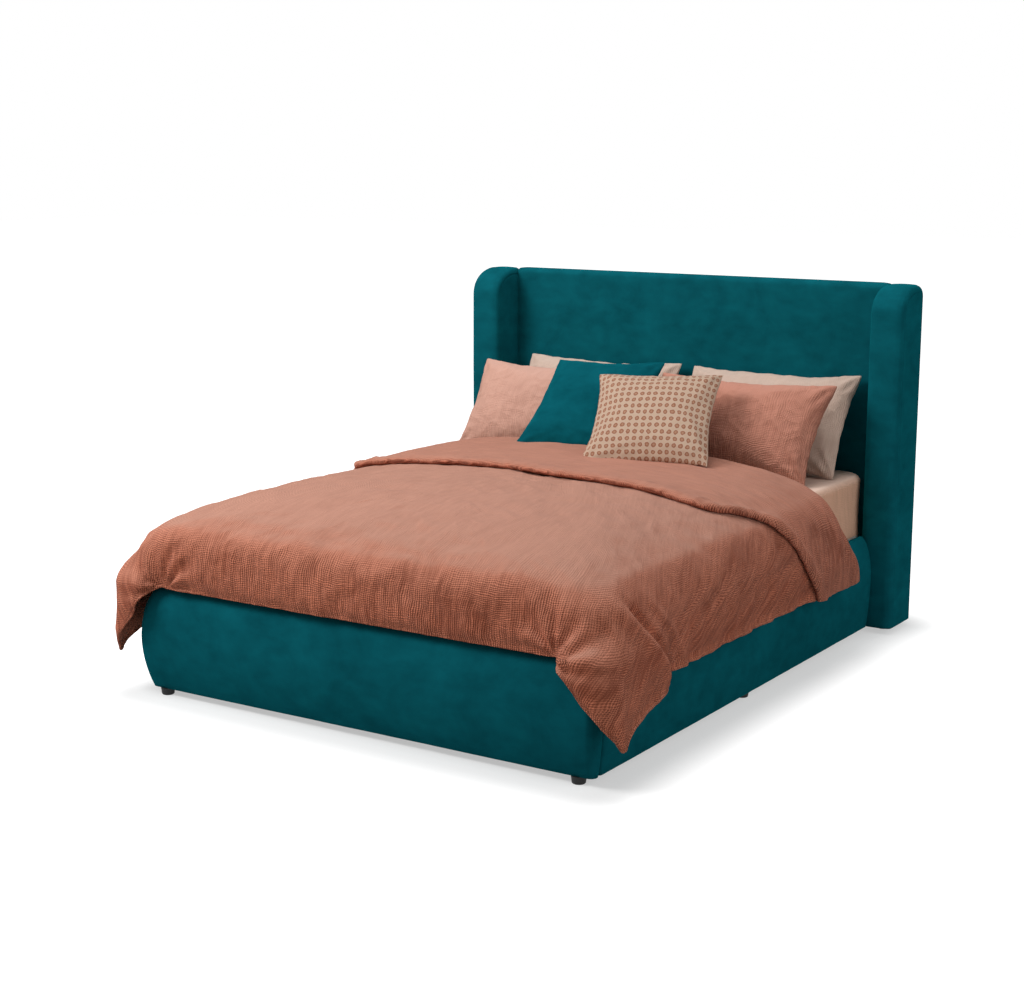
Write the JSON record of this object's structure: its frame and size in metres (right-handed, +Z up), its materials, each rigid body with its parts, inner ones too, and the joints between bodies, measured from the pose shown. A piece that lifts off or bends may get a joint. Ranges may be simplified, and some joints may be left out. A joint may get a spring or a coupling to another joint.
{
  "type": "upholstered wingback bed",
  "caption": "Upholstered wingback bed with padded base, slatted support, mattress, draped duvet with lift-off bedding, pillows and scatter cushions.",
  "frame": {"origin": "on the floor under the middle of the bed, the hanging points of the duvet included", "axes": "+X to the right for someone standing at the foot and looking at the headboard, +Y from the foot to the headboard, +Z up"},
  "size_m": [1.8104, 2.2007, 1.217],
  "materials": {
    "teal_velvet": "short-pile velvet",
    "birch_ply": "bare plywood",
    "frame_pine": "planed pine",
    "slat_pine": "planed pine",
    "back_lining": "thin black lining",
    "zinc_plate": "zinc plated",
    "bolt_steel": "zinc plated",
    "black_steel": "satin black powder coat",
    "black_foot": "matt black",
    "webbing": "woven strap",
    "mattress_ticking": "knitted ticking",
    "sheet_muslin": "crumpled cotton muslin",
    "duvet_muslin": "crumpled cotton muslin",
    "pale_muslin": "crumpled cotton muslin",
    "peach_muslin": "crumpled cotton muslin",
    "clay_muslin": "crumpled cotton muslin",
    "cushion_velvet": "short-pile velvet",
    "dotted_linen": "woven linen with printed dots"
  },
  "bodies": {
    "frame": {"bracket_bolts": "bolt_steel", "centre_leg_1": "black_steel", "centre_leg_2": "black_steel", "centre_rail": "black_steel", "centre_shoe_foot": "zinc_plate", "centre_shoe_head": "zinc_plate", "foot_board": "birch_ply", "foot_bracket_left": "zinc_plate", "foot_bracket_right": "zinc_plate", "foot_cover": "teal_velvet", "foot_front_left": "black_foot", "foot_front_right": "black_foot", "foot_side_left": "black_foot", "foot_side_right": "black_foot", "foot_wing_left": "black_foot", "foot_wing_right": "black_foot", "head_rail": "frame_pine", "headboard_back_lining": "back_lining", "headboard_bottom_rail": "frame_pine", "headboard_cover": "teal_velvet", "headboard_middle_rail": "frame_pine", "headboard_post_left": "frame_pine", "headboard_post_right": "frame_pine", "headboard_top_rail": "frame_pine", "side_board_left": "birch_ply", "side_board_right": "birch_ply", "side_cover_left": "teal_velvet", "side_cover_right": "teal_velvet", "slat_01": "slat_pine", "slat_02": "slat_pine", "slat_03": "slat_pine", "slat_04": "slat_pine", "slat_05": "slat_pine", "slat_06": "slat_pine", "slat_07": "slat_pine", "slat_08": "slat_pine", "slat_09": "slat_pine", "slat_10": "slat_pine", "slat_11": "slat_pine", "slat_12": "slat_pine", "slat_ledge_left": "frame_pine", "slat_ledge_right": "frame_pine", "webbing_left": "webbing", "webbing_right": "webbing", "wing_bolts": "bolt_steel", "wing_box_left": "birch_ply", "wing_box_right": "birch_ply", "wing_bracket_left": "zinc_plate", "wing_bracket_right": "zinc_plate", "wing_cover_left": "teal_velvet", "wing_cover_right": "teal_velvet"},
    "mattress": {"mattress": "mattress_ticking", "fitted_sheet": "sheet_muslin", "back_pillow_left": "pale_muslin", "back_pillow_right": "pale_muslin"},
    "duvet": {"duvet": "duvet_muslin"},
    "pillow_front_left": {"front_pillow_left": "peach_muslin"},
    "pillow_front_right": {"front_pillow_right": "clay_muslin"},
    "cushion_teal": {"teal_cushion": "cushion_velvet"},
    "cushion_dotted": {"dotted_cushion": "dotted_linen"}
  },
  "joints": [
    {"name": "mattress_lift", "type": "slide", "parent": "frame", "child": "mattress", "axis": [0, 0, 1], "range_m": [0, 0.3]},
    {"name": "duvet_lift", "type": "slide", "parent": "mattress", "child": "duvet", "axis": [0, -0.5, 0.866], "range_m": [0, 0.25]},
    {"name": "pillow_front_left_out", "type": "slide", "parent": "mattress", "child": "pillow_front_left", "axis": [-1, 0, 0], "range_m": [0, 0.25]},
    {"name": "pillow_front_right_out", "type": "slide", "parent": "mattress", "child": "pillow_front_right", "axis": [1, 0, 0], "range_m": [0, 0.25]},
    {"name": "cushion_teal_lift", "type": "slide", "parent": "duvet", "child": "cushion_teal", "axis": [0, -0.5, 0.866], "range_m": [0, 0.25]},
    {"name": "cushion_dotted_lift", "type": "slide", "parent": "cushion_teal", "child": "cushion_dotted", "axis": [0, -0.5, 0.866], "range_m": [0, 0.25]}
  ]
}
